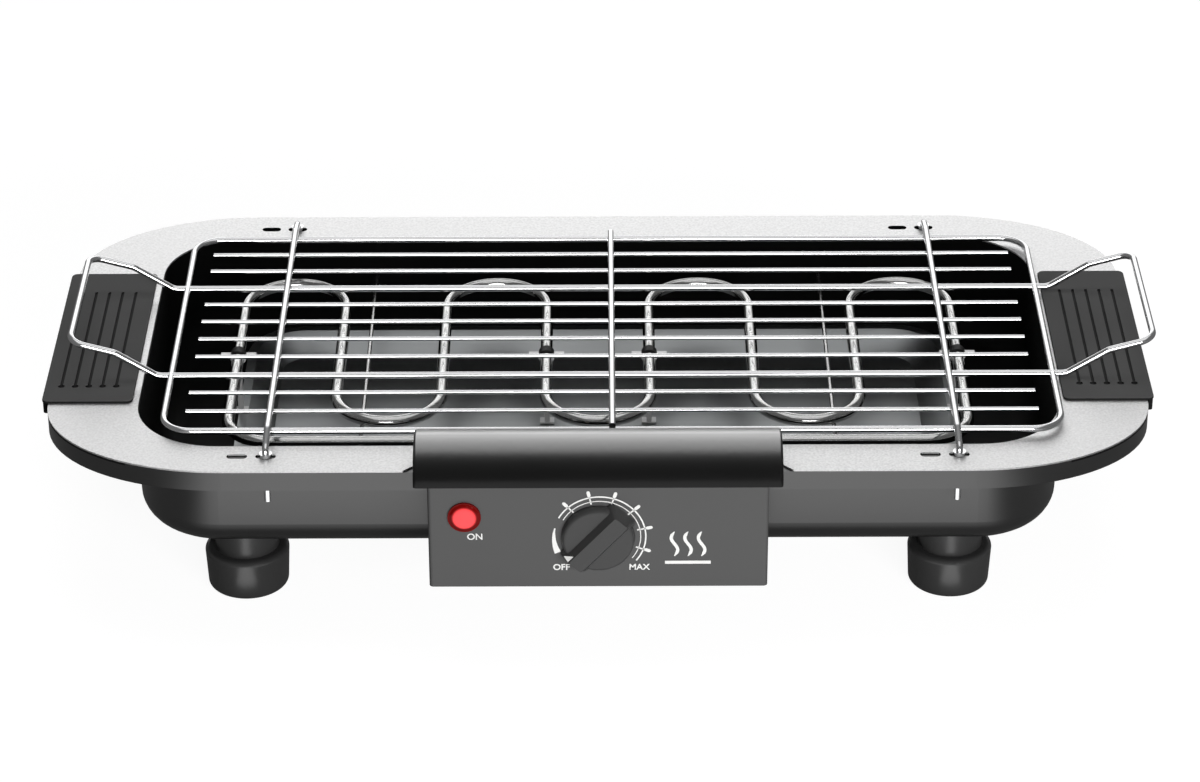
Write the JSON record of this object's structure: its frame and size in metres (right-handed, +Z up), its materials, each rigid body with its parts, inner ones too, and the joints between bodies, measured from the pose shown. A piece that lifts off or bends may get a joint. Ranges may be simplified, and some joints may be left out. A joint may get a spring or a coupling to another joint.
{
  "type": "table-top electric grill",
  "caption": "Table-top electric grill: steel tub on feet, stainless plate, lift-off wire grid, serpentine element and a hooked-on control box with a thermostat knob.",
  "frame": {"origin": "on the surface that the feet stand on, under the middle of the whole grill's box", "axes": "+X to the right along the grill's length, +Y to the back, away from the knob, +Z up"},
  "size_m": [0.527, 0.281, 0.1142],
  "materials": {
    "black_paint": "satin black paint",
    "stainless_plate": "fine sanded stainless steel",
    "bright_aluminium": "bright rolled sheet",
    "pad_plastic": "fine moulded texture",
    "foot_plastic": "satin moulded",
    "box_plastic": "satin moulded",
    "hood_plastic": "satin moulded",
    "knob_plastic": "satin moulded",
    "zinc_steel": "zinc plated",
    "bright_steel": "bright drawn",
    "sheath_steel": "satin drawn tube",
    "chrome_wire": "bright chrome plating",
    "ferrule_ceramic": "unglazed",
    "phenolic": "pressed phenolic",
    "white_nylon": "moulded nylon",
    "gland_rubber": "matt",
    "wire_insulation": "silicone insulation",
    "red_lens": "clear red moulded lens"
  },
  "bodies": {
    "housing": {"body_shell": "black_paint", "top_plate": "stainless_plate", "left_handle_pad": "pad_plastic", "right_handle_pad": "pad_plastic", "handle_pad_screws": "zinc_steel", "foot_front_left": "foot_plastic", "foot_front_right": "foot_plastic", "foot_back_left": "foot_plastic", "foot_back_right": "foot_plastic", "foot_screws": "zinc_steel", "reflector_tray": "bright_aluminium", "support_wire_left": "bright_steel", "support_wire_right": "bright_steel"},
    "heater_unit": {"heating_element": "sheath_steel", "element_pins": "bright_steel", "element_supports": "bright_steel", "element_ferrules": "ferrule_ceramic", "control_box_shell": "box_plastic", "control_box_back": "box_plastic", "control_hood": "hood_plastic", "box_screws": "zinc_steel", "hanger_hooks": "zinc_steel", "thermostat_body": "phenolic", "thermostat_screws": "zinc_steel", "indicator_lens": "red_lens", "indicator_body": "phenolic", "safety_switch": "phenolic", "terminal_block": "white_nylon", "cord_gland": "gland_rubber", "internal_wires": "wire_insulation"},
    "grid": {"grid_frame": "chrome_wire", "grid_handle_left": "chrome_wire", "grid_handle_right": "chrome_wire", "grid_thick_rod_front": "chrome_wire", "grid_thick_rod_back": "chrome_wire", "grid_cross_bar_left": "chrome_wire", "grid_cross_bar_middle": "chrome_wire", "grid_cross_bar_right": "chrome_wire", "grid_thin_rod_1": "chrome_wire", "grid_thin_rod_2": "chrome_wire", "grid_thin_rod_3": "chrome_wire", "grid_thin_rod_4": "chrome_wire", "grid_thin_rod_5": "chrome_wire", "grid_thin_rod_6": "chrome_wire", "grid_thin_rod_7": "chrome_wire", "grid_thin_rod_8": "chrome_wire"},
    "knob": {"thermostat_knob": "knob_plastic", "thermostat_shaft": "zinc_steel"},
    "plunger": {"safety_plunger": "white_nylon"}
  },
  "joints": [
    {"name": "heater_lift", "type": "slide", "parent": "housing", "child": "heater_unit", "axis": [0, 0, 1], "range_m": [0, 0.06]},
    {"name": "grid_lift", "type": "slide", "parent": "heater_unit", "child": "grid", "axis": [0, 0, 1], "range_m": [0, 0.05]},
    {"name": "knob_turn", "type": "hinge", "parent": "heater_unit", "child": "knob", "pos_m": [-0.00133, -0.1325, 0.066], "axis": [0, 1, 0], "range_deg": [0, 270]},
    {"name": "plunger_slide", "type": "slide", "parent": "heater_unit", "child": "plunger", "axis": [0, 1, 0], "range_m": [0, 0.002]}
  ],
  "couplings": [
    {"joint": "plunger_slide", "follows": "heater_lift", "ratio": 0.033333}
  ]
}
